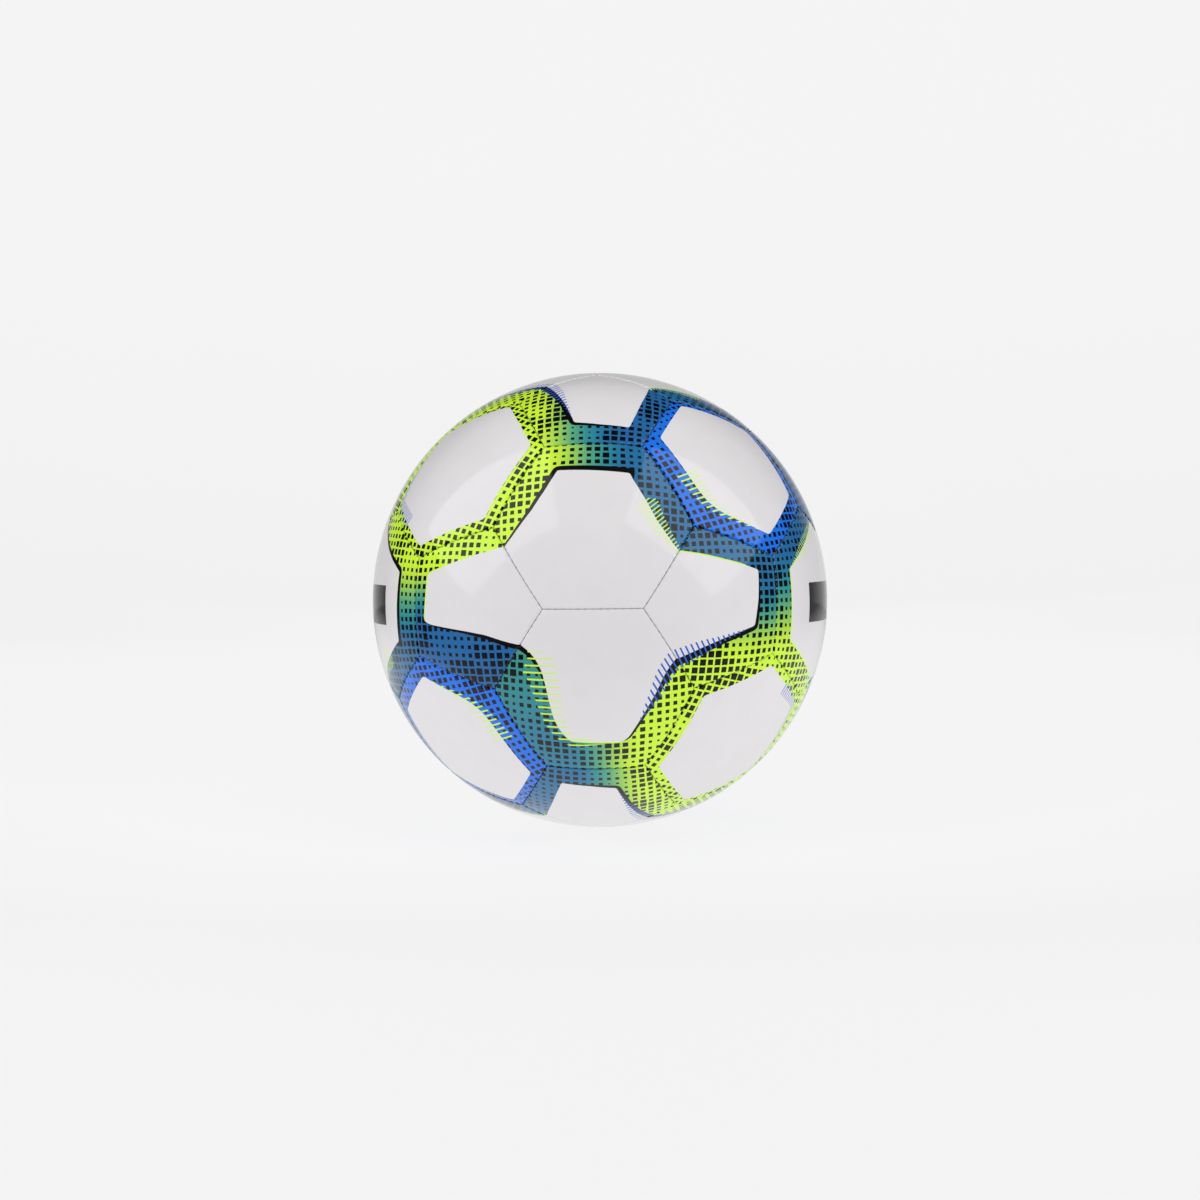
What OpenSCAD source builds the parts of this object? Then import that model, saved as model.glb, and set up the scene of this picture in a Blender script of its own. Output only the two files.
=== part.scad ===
// Stitched 32-panel soccer ball, size 5, in millimetres.
// The origin is the centre of the ball, +Z is up and the front of the ball faces -Y.
//
// The cover is a truncated icosahedron blown up into a sphere: 12 pentagons and 20 hexagons
// whose edges are turned in and sewn to each other. Around each of the six directions
// (front, back, left, right, top, bottom) two hexagons share a seam, with a pentagon at each
// end of it. The other eight hexagons sit at the corners between those groups.
// Under each panel lie a foam pad and a cloth lining, and a rubber bladder fills the ball.

/* [Ball] */
// Outside diameter of the inflated ball
ball_d = 220; // [216:1:223]

/* [Cover panels] */
// Thickness of the synthetic leather
cover_t = 1.2; // [1:0.1:1.6]
// How far the turned-in edge of a panel reaches below the surface
flange_depth = 5; // [4.5:0.1:6]
// Width of the groove that shows along a seam
groove_w = 0.7; // [0.4:0.1:1.2]
// Depth of that groove
groove_depth = 0.6; // [0.4:0.1:0.8]
// Gap between the two edges that are sewn together
seam_gap = 0.1; // [0.05:0.05:0.2]

/* [Padding] */
// Thickness of the foam pad glued behind each panel
foam_t = 2.2; // [1.5:0.1:2.4]
// Thickness of the cloth lining glued behind the foam
lining_t = 1.4; // [0.8:0.1:1.5]
// Film of glue between two layers
glue_gap = 0.05; // [0.02:0.01:0.1]
// Distance from a seam to the edge of the padding, which leaves room for the thread
padding_inset = 2.3; // [2.2:0.1:4]

/* [Stitching] */
// Thickness of the waxed thread
thread_d = 0.8; // [0.6:0.1:0.9]
// Stitches that cross each seam
stitches = 13; // [8:1:13]
// Distance from one stitch to the next
stitch_pitch = 3.2; // [2.6:0.1:3.2]
// Depth of the thread below the surface
thread_depth = 3; // [2.5:0.1:3.5]

/* [Bladder] */
// Wall thickness of the inflated bladder
bladder_t = 0.6; // [0.4:0.1:1]
// Gap between the bladder and the lining
bladder_gap = 0.2; // [0.1:0.1:0.5]
// Diameter of the round patch around the valve
patch_d = 40; // [34:1:50]
// Thickness of that patch
patch_t = 0.5; // [0.4:0.1:0.8]

/* [Valve] */
// Outside diameter of the valve's rubber stem
stem_d = 9.8; // [9:0.1:12]
// Length of the stem, from the surface inwards
stem_l = 22; // [20:1:26]
// Diameter of the stem's glued foot
foot_d = 28; // [24:1:32]
// Thickness of that foot
foot_t = 1; // [0.8:0.1:1.4]
// Diameter of the removable core
core_d = 5.5; // [5:0.1:6]
// Length of the core below its head
core_l = 18.5; // [16:0.5:18.5]
// Diameter of the core's head
head_d = 7.4; // [6.8:0.1:8]
// Thickness of the core's head
head_t = 1; // [0.8:0.1:1.2]
// Radial clearance around the core in the stem
core_clearance = 0.05; // [0.03:0.01:0.1]
// Diameter of the hole that takes the inflating needle
needle_d = 2.1; // [2:0.05:2.4]
// Depth of that hole below the core's head
needle_depth = 12; // [8:0.5:12]

/* [Hidden] */
ball_r = ball_d / 2;
phi = (1 + sqrt(5)) / 2;
panel_edge = ball_r * 4 / sqrt(58 + 18 * sqrt(5));
cut_block = 4 * ball_r;
skin_r = ball_r - cover_t;
flange_r = ball_r - flange_depth;
foam_r = skin_r - glue_gap;
lining_r = foam_r - foam_t - glue_gap;
bladder_r = min(lining_r - lining_t, flange_r) - bladder_gap;
patch_r = bladder_r - bladder_t - glue_gap;
foot_r = patch_r - patch_t - glue_gap;
thread_r = ball_r - thread_depth;
thread_offset = seam_gap / 2 + cover_t + thread_d / 2 - 0.05;
cross_stitch_d = thread_d - 0.1;
stitch_angle = stitch_pitch / thread_r * 180 / PI;
stem_hole_d = stem_d + 0.4;
stem_recess = 0.2;
stem_floor = 1.5;
air_hole_d = 1.2;
head_r = ball_r - stem_recess - 0.1;
seat_r = head_r - head_t;
core_hole_d = core_d + 2 * core_clearance;
head_hole_d = head_d + 0.2;
funnel_d = 3.6;
funnel_t = 0.7;
sealing_ribs = 3;
rib_spacing = 4;
rib_groove = 0.2;
rib_groove_w = 1;
$fn = 96;

FRONT = [0, -1, 0];
BACK = [0, 1, 0];
LEFT = [-1, 0, 0];
RIGHT = [1, 0, 0];
UP = [0, 0, 1];
DOWN = [0, 0, -1];

PRINT_WHITE = [0.88, 0.88, 0.88];
PRINT_LIME = [0.72, 0.94, 0.16];
PRINT_BLUE = [0.12, 0.45, 0.93];
FOAM_COLOUR = [0.93, 0.91, 0.82];
CLOTH_COLOUR = [0.8, 0.82, 0.85];
THREAD_COLOUR = [0.3, 0.3, 0.32];
RUBBER_COLOUR = [0.08, 0.08, 0.09];

// Each group is the direction it faces, where its two hexagons lie, and where its
// two pentagons lie.
GROUPS = [
    [FRONT, [UP, DOWN], [LEFT, RIGHT]],
    [BACK, [UP, DOWN], [LEFT, RIGHT]],
    [UP, [LEFT, RIGHT], [FRONT, BACK]],
    [DOWN, [LEFT, RIGHT], [FRONT, BACK]],
    [LEFT, [FRONT, BACK], [UP, DOWN]],
    [RIGHT, [FRONT, BACK], [UP, DOWN]]
];
CORNERS = [for (y = [FRONT, BACK], z = [UP, DOWN], x = [LEFT, RIGHT]) [x, y, z]];

// ---- Places on the ball ----

function unit(v) = v / norm(v);

// Angle between a panel's middle and the plane of its seams, for a panel with n sides
function seam_tilt(n) =
    let (
        apothem = panel_edge / (2 * tan(180 / n)),
        corner = panel_edge / (2 * sin(180 / n))
    )
    atan(apothem / sqrt(ball_r * ball_r - corner * corner));

// Turns +Z outwards along a panel's normal, and +X towards the middle of its first seam
module on_panel(normal, first_seam) {
    z = unit(normal);
    x = unit(first_seam - (first_seam * z) * z);
    y = cross(z, x);
    multmatrix([
        [x[0], y[0], z[0], 0],
        [x[1], y[1], z[1], 0],
        [x[2], y[2], z[2], 0],
        [0, 0, 0, 1]
    ]) children();
}

module on_group_hexagon(face, side) {
    on_panel(phi * face + side / phi, face) children();
}

module on_group_pentagon(face, side) {
    on_panel(phi * face + side, side) children();
}

// A corner hexagon's first seam joins it to a hexagon of the front or back group
module on_corner_hexagon(x, y, z) {
    on_panel(x + y + z, phi * y + z / phi) children();
}

// From a panel with n sides to its seam i: +Z passes through the seam's middle, +X crosses it
module on_seam(n, i) {
    rotate([0, 0, i * 360 / n])
        rotate([0, seam_tilt(n), 0])
            children();
}

// The valve sits in the middle of the upper hexagon at the back
module on_valve() {
    on_group_hexagon(BACK, UP) children();
}

// ---- Shapes ----

// The cone from the centre of the ball through a panel with n sides, held off its seams
module panel_cone(n, inset) {
    intersection_for (i = [0:n - 1])
        on_seam(n, i)
            translate([-cut_block - inset, -cut_block / 2, -cut_block / 2])
                cube(cut_block);
}

module shell(r_in, r_out) {
    difference() {
        sphere(r = r_out);
        sphere(r = r_in);
    }
}

module panel_layer(n, r_in, r_out, inset) {
    intersection() {
        shell(r_in, r_out);
        panel_cone(n, inset);
    }
}

// A skin, and the turned-in edge around it that the thread goes through
module cover_panel(n) {
    panel_layer(n, skin_r, ball_r, groove_w / 2);
    difference() {
        panel_layer(n, flange_r, ball_r - groove_depth, seam_gap / 2);
        panel_cone(n, seam_gap / 2 + cover_t);
    }
}

module foam_pad(n) {
    panel_layer(n, foam_r - foam_t, foam_r, padding_inset);
}

module lining(n) {
    panel_layer(n, lining_r - lining_t, lining_r, padding_inset);
}

module valve_hole() {
    on_valve()
        cylinder(h = 2 * ball_r, d = stem_hole_d);
}

// One strand of flat waxed thread that follows a seam at a distance x to one side of it
module thread_strand(x) {
    half_angle = stitch_angle * (stitches - 1) / 2;
    translate([x, 0, 0])
        rotate([0, 90, 0])
            rotate([0, 0, 180 - half_angle])
                rotate_extrude(angle = 2 * half_angle)
                    translate([thread_r, 0])
                        square(thread_d, center = true);
}

// A saddle stitch: a strand on each side of the seam, and the stitches that join them
module seam_stitches() {
    thread_strand(-thread_offset);
    thread_strand(thread_offset);
    for (i = [0:stitches - 1])
        rotate([(i - (stitches - 1) / 2) * stitch_angle, 0, 0])
            translate([0, 0, thread_r])
                rotate([0, 90, 0])
                    cylinder(h = 2 * thread_offset, d = cross_stitch_d, center = true, $fn = 24);
}

// The seams around both pentagons of a group, and the seam between its two hexagons
module group_stitching(group) {
    color(THREAD_COLOUR) {
        for (side = group[2], i = [0:4])
            on_group_pentagon(group[0], side)
                on_seam(5, i)
                    seam_stitches();
        on_group_hexagon(group[0], group[1][0])
            on_seam(6, 0)
                seam_stitches();
    }
}

// The three seams between a corner hexagon and the hexagons beside it
module corner_stitching(x, y, z) {
    color(THREAD_COLOUR)
        for (i = [0, 2, 4])
            on_corner_hexagon(x, y, z)
                on_seam(6, i)
                    seam_stitches();
}

module on_every_hexagon() {
    for (group = GROUPS, side = group[1])
        on_group_hexagon(group[0], side) children();
    for (corner = CORNERS)
        on_corner_hexagon(corner[0], corner[1], corner[2]) children();
}

module on_every_pentagon() {
    for (group = GROUPS, side = group[2])
        on_group_pentagon(group[0], side) children();
}

module group_hexagon(face, side) {
    color(PRINT_WHITE)
        on_group_hexagon(face, side)
            cover_panel(6);
}

module group_pentagon(face, side) {
    color(PRINT_WHITE)
        on_group_pentagon(face, side)
            cover_panel(5);
}

// Corner panels are printed lime and blue in turn, so that each blue one faces lime ones
module corner_hexagon(x, y, z) {
    corner = x + y + z;
    color(corner[0] * corner[1] * corner[2] > 0 ? PRINT_LIME : PRINT_BLUE)
        on_corner_hexagon(x, y, z)
            cover_panel(6);
}

// ---- Cover ----

module front_upper_hexagon() group_hexagon(FRONT, UP);
module front_lower_hexagon() group_hexagon(FRONT, DOWN);
module front_left_pentagon() group_pentagon(FRONT, LEFT);
module front_right_pentagon() group_pentagon(FRONT, RIGHT);

module back_upper_hexagon() {
    difference() {
        group_hexagon(BACK, UP);
        valve_hole();
    }
}
module back_lower_hexagon() group_hexagon(BACK, DOWN);
module back_left_pentagon() group_pentagon(BACK, LEFT);
module back_right_pentagon() group_pentagon(BACK, RIGHT);

module top_left_hexagon() group_hexagon(UP, LEFT);
module top_right_hexagon() group_hexagon(UP, RIGHT);
module top_front_pentagon() group_pentagon(UP, FRONT);
module top_back_pentagon() group_pentagon(UP, BACK);

module bottom_left_hexagon() group_hexagon(DOWN, LEFT);
module bottom_right_hexagon() group_hexagon(DOWN, RIGHT);
module bottom_front_pentagon() group_pentagon(DOWN, FRONT);
module bottom_back_pentagon() group_pentagon(DOWN, BACK);

module left_front_hexagon() group_hexagon(LEFT, FRONT);
module left_back_hexagon() group_hexagon(LEFT, BACK);
module left_upper_pentagon() group_pentagon(LEFT, UP);
module left_lower_pentagon() group_pentagon(LEFT, DOWN);

module right_front_hexagon() group_hexagon(RIGHT, FRONT);
module right_back_hexagon() group_hexagon(RIGHT, BACK);
module right_upper_pentagon() group_pentagon(RIGHT, UP);
module right_lower_pentagon() group_pentagon(RIGHT, DOWN);

module corner_hexagon_front_upper_left() corner_hexagon(LEFT, FRONT, UP);
module corner_hexagon_front_upper_right() corner_hexagon(RIGHT, FRONT, UP);
module corner_hexagon_front_lower_left() corner_hexagon(LEFT, FRONT, DOWN);
module corner_hexagon_front_lower_right() corner_hexagon(RIGHT, FRONT, DOWN);
module corner_hexagon_back_upper_left() corner_hexagon(LEFT, BACK, UP);
module corner_hexagon_back_upper_right() corner_hexagon(RIGHT, BACK, UP);
module corner_hexagon_back_lower_left() corner_hexagon(LEFT, BACK, DOWN);
module corner_hexagon_back_lower_right() corner_hexagon(RIGHT, BACK, DOWN);

// ---- Stitching ----

module front_stitching() group_stitching(GROUPS[0]);
module back_stitching() group_stitching(GROUPS[1]);
module top_stitching() group_stitching(GROUPS[2]);
module bottom_stitching() group_stitching(GROUPS[3]);
module left_stitching() group_stitching(GROUPS[4]);
module right_stitching() group_stitching(GROUPS[5]);

module corner_stitching_front_upper_left() corner_stitching(LEFT, FRONT, UP);
module corner_stitching_front_upper_right() corner_stitching(RIGHT, FRONT, UP);
module corner_stitching_front_lower_left() corner_stitching(LEFT, FRONT, DOWN);
module corner_stitching_front_lower_right() corner_stitching(RIGHT, FRONT, DOWN);
module corner_stitching_back_upper_left() corner_stitching(LEFT, BACK, UP);
module corner_stitching_back_upper_right() corner_stitching(RIGHT, BACK, UP);
module corner_stitching_back_lower_left() corner_stitching(LEFT, BACK, DOWN);
module corner_stitching_back_lower_right() corner_stitching(RIGHT, BACK, DOWN);

// ---- Padding ----

module hexagon_foam_pads() {
    color(FOAM_COLOUR)
        difference() {
            on_every_hexagon() foam_pad(6);
            valve_hole();
        }
}

module pentagon_foam_pads() {
    color(FOAM_COLOUR)
        on_every_pentagon() foam_pad(5);
}

module hexagon_linings() {
    color(CLOTH_COLOUR)
        difference() {
            on_every_hexagon() lining(6);
            valve_hole();
        }
}

module pentagon_linings() {
    color(CLOTH_COLOUR)
        on_every_pentagon() lining(5);
}

// ---- Bladder and valve ----

module bladder() {
    color(RUBBER_COLOUR)
        difference() {
            shell(bladder_r - bladder_t, bladder_r);
            valve_hole();
        }
}

// The patch is glued inside the bladder, around the stem
module bladder_patch() {
    color(RUBBER_COLOUR)
        on_valve()
            difference() {
                intersection() {
                    shell(patch_r - patch_t, patch_r);
                    cylinder(h = ball_r, d = patch_d);
                }
                cylinder(h = ball_r, d = stem_hole_d);
            }
}

// A moulded tube with a foot that is glued under the patch, and a seat for the core
module valve_stem() {
    stem_top = ball_r - stem_recess;
    stem_bottom = ball_r - stem_l;
    color(RUBBER_COLOUR)
        on_valve()
            difference() {
                union() {
                    translate([0, 0, stem_bottom])
                        cylinder(h = stem_top - stem_bottom, d = stem_d);
                    intersection() {
                        shell(foot_r - foot_t, foot_r);
                        cylinder(h = ball_r, d = foot_d);
                    }
                }
                translate([0, 0, stem_bottom + stem_floor])
                    cylinder(h = ball_r, d = core_hole_d);
                translate([0, 0, seat_r - core_clearance])
                    cylinder(h = ball_r, d = head_hole_d);
                cylinder(h = ball_r, d = air_hole_d);
            }
}

// A rubber plug with a head and three sealing ribs, bored for the inflating needle
module valve_core() {
    color(RUBBER_COLOUR)
        on_valve()
            difference() {
                union() {
                    translate([0, 0, seat_r - core_l])
                        cylinder(h = core_l + head_t / 2, d = core_d);
                    translate([0, 0, seat_r])
                        cylinder(h = head_t, d = head_d);
                }
                for (i = [1:sealing_ribs])
                    translate([0, 0, seat_r - i * rib_spacing])
                        core_groove();
                translate([0, 0, head_r - needle_depth])
                    cylinder(h = ball_r, d = needle_d);
                translate([0, 0, head_r - funnel_t])
                    cylinder(h = funnel_t, d1 = needle_d, d2 = funnel_d);
            }
}

// The ring cut beside a sealing rib
module core_groove() {
    difference() {
        cylinder(h = rib_groove_w, d = core_d + 1);
        cylinder(h = rib_groove_w, d = core_d - 2 * rib_groove);
    }
}

front_upper_hexagon();
front_lower_hexagon();
front_left_pentagon();
front_right_pentagon();
back_upper_hexagon();
back_lower_hexagon();
back_left_pentagon();
back_right_pentagon();
top_left_hexagon();
top_right_hexagon();
top_front_pentagon();
top_back_pentagon();
bottom_left_hexagon();
bottom_right_hexagon();
bottom_front_pentagon();
bottom_back_pentagon();
left_front_hexagon();
left_back_hexagon();
left_upper_pentagon();
left_lower_pentagon();
right_front_hexagon();
right_back_hexagon();
right_upper_pentagon();
right_lower_pentagon();
corner_hexagon_front_upper_left();
corner_hexagon_front_upper_right();
corner_hexagon_front_lower_left();
corner_hexagon_front_lower_right();
corner_hexagon_back_upper_left();
corner_hexagon_back_upper_right();
corner_hexagon_back_lower_left();
corner_hexagon_back_lower_right();
front_stitching();
back_stitching();
top_stitching();
bottom_stitching();
left_stitching();
right_stitching();
corner_stitching_front_upper_left();
corner_stitching_front_upper_right();
corner_stitching_front_lower_left();
corner_stitching_front_lower_right();
corner_stitching_back_upper_left();
corner_stitching_back_upper_right();
corner_stitching_back_lower_left();
corner_stitching_back_lower_right();
hexagon_foam_pads();
pentagon_foam_pads();
hexagon_linings();
pentagon_linings();
bladder();
bladder_patch();
valve_stem();
valve_core();
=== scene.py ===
"""A stitched 32-panel soccer ball: printed cover, thread, foam, cloth, bladder and valve.

Lengths are in millimetres until a mesh is made, and the ball's centre is the origin.
"""

import math

import bpy
import numpy as np
from mathutils import Matrix, Vector


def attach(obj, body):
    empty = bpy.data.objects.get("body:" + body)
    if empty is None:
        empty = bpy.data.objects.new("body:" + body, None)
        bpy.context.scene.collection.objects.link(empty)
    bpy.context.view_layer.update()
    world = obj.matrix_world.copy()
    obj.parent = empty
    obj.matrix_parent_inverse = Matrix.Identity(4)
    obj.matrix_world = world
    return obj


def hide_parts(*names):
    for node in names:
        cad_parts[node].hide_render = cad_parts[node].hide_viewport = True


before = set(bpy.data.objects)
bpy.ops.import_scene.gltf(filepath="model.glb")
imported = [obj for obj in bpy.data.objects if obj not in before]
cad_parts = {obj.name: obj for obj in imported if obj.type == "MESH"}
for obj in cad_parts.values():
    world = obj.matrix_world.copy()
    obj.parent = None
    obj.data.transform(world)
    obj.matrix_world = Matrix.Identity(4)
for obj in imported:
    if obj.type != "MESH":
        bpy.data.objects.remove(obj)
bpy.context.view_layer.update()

MM = 0.001
RADIUS = 110.0
PHI = (1 + math.sqrt(5)) / 2
EDGE = RADIUS * 4 / math.sqrt(58 + 18 * math.sqrt(5))

# Cover: its thickness, how deep its turned-in edge reaches, half the gap in a seam, the rolled rim,
# and the radius of a panel's innermost ring
COVER_T = 1.2
FLANGE_R = 105.0
SEAM_HALF = 0.06
ROLL = 0.65
CENTRE_R = 3.0
# How deep a stitch pulls the rim in and how far from the seam, and how the whole rim sinks
PULL_DEPTH = 0.4
PULL_REACH = 0.85
SINK_DEPTH = 0.1
SINK_REACH = 3.5
# Thread: the stitches of a seam and their distance, and the two wavy strands behind the seam
STITCHES = 13
PITCH = 3.2
THREAD_R = 107.0
STRAND_X = 1.65
STRAND_WAVE = 0.06
STRAND_RADIUS = 0.4
# Half a stitch, from its foot to its top in the seam: distance across the seam, and radius
HALF_STITCH = [(-1.6, 106.9), (-1.3, 108.0), (-0.75, 108.85), (-0.3, 109.1), (0, 109.15)]
STITCH_RADIUS = 0.2
STITCH_SLANT = 0.12
# Padding: outer radius, thickness, layers in it and how far its rim is rounded, for the foam and for
# the cloth, and how far both stay from a seam
FOAM_R = 108.75
FOAM_T = 2.2
FOAM_LAYERS = 1
FOAM_SOFT = 0.35
LINING_R = 106.5
LINING_T = 1.4
LINING_LAYERS = 4
LINING_SOFT = 0.12
PADDING_INSET = 2.3
# Bladder, the ribs that its mould leaves, and the hole through all layers for the valve
BLADDER_R = 104.8
BLADDER_T = 0.6
BLADDER_SPOKES = 144
RIBS = 8
RIB_HEIGHT = 0.15
RIB_WIDTH = 1.4
VALVE_HOLE_R = 5.1

AXES = {
    "front": (0, -1, 0),
    "back": (0, 1, 0),
    "left": (-1, 0, 0),
    "right": (1, 0, 0),
    "top": (0, 0, 1),
    "upper": (0, 0, 1),
    "bottom": (0, 0, -1),
    "lower": (0, 0, -1),
}

# Which of the five prints each panel of the six groups carries
PRINTS = {
    "front_upper_hexagon": "hex_a",
    "front_lower_hexagon": "hex_b",
    "front_left_pentagon": "pent_a",
    "front_right_pentagon": "pent_b",
    "back_upper_hexagon": "hex_a",
    "back_lower_hexagon": "hex_b",
    "back_left_pentagon": "pent_b",
    "back_right_pentagon": "pent_a",
    "left_front_hexagon": "hex_a",
    "left_back_hexagon": "hex_c",
    "left_upper_pentagon": "pent_a",
    "left_lower_pentagon": "pent_b",
    "right_front_hexagon": "hex_c",
    "right_back_hexagon": "hex_a",
    "right_upper_pentagon": "pent_a",
    "right_lower_pentagon": "pent_b",
    "top_left_hexagon": "hex_b",
    "top_right_hexagon": "hex_a",
    "top_front_pentagon": "pent_b",
    "top_back_pentagon": "pent_a",
    "bottom_left_hexagon": "hex_a",
    "bottom_right_hexagon": "hex_b",
    "bottom_front_pentagon": "pent_b",
    "bottom_back_pentagon": "pent_a",
}

# The edge of each print's white field, from one seam over the panel's far end to the other seam.
# A point is x, y, the width of the black line there (negative for a lime hairline), and how far
# the hatching reaches into the colour and into the white.
OUTLINES = {
    "hex_a": [
        (-38.5, -9.7, 0.8, 0, 0),
        (-35, -6, 1.0, 0, 0),
        (-30, 0, 1.3, 0, 0),
        (-25.5, 5.5, 1.6, 0, 0),
        (-20, 14.2, 1.9, 0, 0),
        (-15, 23.5, 2.3, 0, 0),
        (15.5, 21.8, 2.6, 0, 0),
        (16.9, 18.4, -0.1, 0, 0),
        (21.4, 10.3, -0.1, 0, 0),
        (22.6, 8.2, -0.1, 5.2, 5.4),
        (26.3, 1.1, -0.1, 4.2, 4.6),
        (30.2, -4.1, -0.1, 3.0, 3.6),
        (34.2, -9.2, -0.1, 2.2, 2.6),
        (37, -12, -0.1, 1.6, 2.0),
    ],
    "hex_b": [
        (-35.5, -15, 3.5, -5.0, -4.7),
        (-32, -11.5, 2.9, -4.6, -4.4),
        (-29, -7, 2.3, -4.2, -4.0),
        (-25.5, 0, 1.8, -3.4, -3.0),
        (-22, 6, 1.4, -2.2, -1.8),
        (-18, 13, 1.2, 0, 0),
        (-14, 20, 0.9, 0, 0),
        (-11, 22.3, -0.3, 0, 0),
        (10, 21.5, -0.3, 3.0, 3.0),
        (12.5, 19, -0.1, 3.6, 3.4),
        (15, 15, -0.1, 4.4, 4.0),
        (17, 10, -0.1, 5.0, 4.6),
        (18, 5, -0.1, 5.6, 5.2),
        (19, 0, 0.1, 6.2, 5.8),
        (20, -5, 0.6, 7.0, 6.4),
        (21.5, -11, 1.2, 7.8, 6.8),
        (24, -15.5, 1.7, 8.4, 7.0),
        (27, -19, 2.0, 0, 0),
        (31.5, -22, 2.3, 0, 0),
    ],
    "hex_c": [
        (-37.75, -11.5, -0.3, 0, 0),
        (-15.8, 26.5, -0.3, 0, 0),
        (15.2, 26.5, -0.3, 0, 0),
        (24, 11, -0.1, 3.6, 3.4),
        (37.4, -12, -0.1, 2.0, 2.4),
    ],
    "pent_a": [
        (-15.5, -26.5, 2.3, 0, 0),
        (-14, -20, 2.0, 0, 0),
        (-11, -10, 1.6, 0, 0),
        (-9.5, 0, 1.1, 0, 0),
        (-7.3, 20, 0.5, 0, 0),
        (-6, 23.7, -0.3, 0, 0),
        (5, 22.5, -0.3, 0, 0),
        (15, 22, -0.3, 0, 0),
        (20, 5, -0.1, 0, 0),
        (27, -18.5, -0.1, 0, 0),
    ],
    "pent_b": [
        (-24.5, -20, -0.3, 0, 0),
        (-22.7, -10, -0.3, 0, 0),
        (-18, 10, -0.3, 0, 0),
        (-15.5, 19.5, 0.1, 0, 0),
        (-3, 18.5, 1.2, 0, 0),
        (8.5, 16.5, 2.0, 0, 0),
        (13.3, 0, 2.3, -1.5, -1.5),
        (17, -10, 2.8, -3.6, -3.4),
        (22, -21.5, 3.4, -5.0, -4.7),
    ],
}
FILLET = {"hex_a": 0.7, "hex_b": 1.8, "hex_c": 1.2, "pent_a": 1.6, "pent_b": 0.9}

# Direction of the hatching in degrees, the distance between its lines and their width
LIME_HATCH = {"hex_a": (41, 1.7, 0.5), "hex_b": (2, 3.1, 0.75), "hex_c": (41, 1.7, 0.5)}
BLUE_HATCH = {"hex_b": (-60, 2.5, 0.8), "pent_b": (30, 2.5, 0.8)}
NO_HATCH = (0, 2, 0)
CORNER_HATCH = {"corner_blue": (0, 2.45, 0.735), "corner_lime": (64, 2.0, 0.6)}

# Where the fading print is lime and where it is bluest, in x, and how blue it gets: 0 is lime and
# 0.8 the deepest blue of the groups
TONES = {
    "hex_a": (-20, 14.5, 0.67),
    "hex_b": (-18, 8, 0.55),
    "hex_c": (-20, 24, 0.74),
    "pent_a": (17.5, -9, 0.8),
    "pent_b": (21, -8.3, 0.66),
    "top_front_pentagon": (26, -13, 0.8),
}

# How wide the printed border of a corner panel is along each seam, the front or back hexagon first
CORNER_BORDERS = {
    "corner_blue": (10.8, 9.5, 8, 6, 4.5, 5),
    "corner_lime": (6.5, 5, 3.5, 3, 4.5, 5.5),
}

SQUARE_PITCH = 3.65

# The plain dark bar on both sides: half its height, how far it reaches from the seam in the middle,
# and a distance from it that stands for no bar at all
BAR_HALF = 8.5
BAR_END = 10
NO_BAR = 50.0


def unit(v):
    return np.asarray(v, float) / np.linalg.norm(v)


def smooth_max(values, k):
    top = values.max(axis=-1, keepdims=True)
    return top[..., 0] + k * np.log(np.exp((values - top) / k).sum(axis=-1))


# ---- Panels ----


class Panel:
    """One face of the 32: its axes, its seams, and flat coordinates on it in millimetres."""

    def __init__(self, name, design, normal, x, sides, first_seam):
        self.name = name
        self.design = design
        self.sides = sides
        self.normal = unit(normal)
        self.x = unit(np.asarray(x, float) - np.dot(x, self.normal) * self.normal)
        self.y = np.cross(self.normal, self.x)
        self.apothem = EDGE / (2 * math.tan(math.pi / sides))
        corner = EDGE / (2 * math.sin(math.pi / sides))
        self.height = math.sqrt(RADIUS**2 - corner**2)
        self.angles = first_seam + np.arange(sides) * 2 * math.pi / sides
        out = np.stack([np.cos(self.angles), np.sin(self.angles)], axis=1)
        self.out = out
        out3 = out[:, :1] * self.x + out[:, 1:] * self.y
        reach = math.hypot(self.height, self.apothem)
        self.seams = (self.apothem * self.normal - self.height * out3) / reach
        self.middles = (self.height * self.normal + self.apothem * out3) / reach
        self.alongs = np.cross(self.normal, out3)

    def directions(self, flat):
        p = self.height * self.normal + flat[:, :1] * self.x + flat[:, 1:] * self.y
        return p / np.linalg.norm(p, axis=1, keepdims=True)

    def flat(self, points):
        depth = points @ self.normal
        return np.stack([points @ self.x, points @ self.y], axis=1) * (self.height / depth)[:, None]

    def outline(self, inset, per_side, roundness=0.0):
        """Flat points along the panel's edge, moved in by inset, and turned into a circle by roundness."""
        apothem = self.apothem - inset
        turn = math.pi / self.sides
        corners = self.angles[:, None] + np.array([-turn, turn])
        ends = np.stack([np.cos(corners), np.sin(corners)], axis=-1) * apothem / math.cos(turn)
        t = (np.arange(per_side) / per_side)[None, :, None]
        points = (ends[:, :1] * (1 - t) + ends[:, 1:] * t).reshape(-1, 2)
        circle = points / np.linalg.norm(points, axis=1, keepdims=True) * apothem
        return points * (1 - roundness) + circle * roundness

    def ring(self, gap, radius, per_side):
        """A ring at a distance gap from the seams' planes and at one radius."""
        inset = gap * (self.height**2 + self.apothem**2) / (self.height * radius)
        return self.directions(self.outline(inset, per_side)) * radius

    def inner_ring(self, apothem, radius, per_side):
        """A ring well inside the panel, rounder the closer it is to the middle."""
        roundness = np.clip(1.25 - apothem / (0.6 * self.apothem), 0, 1)
        flat = self.outline(self.apothem - apothem, per_side, roundness)
        return self.directions(flat) * radius


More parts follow.
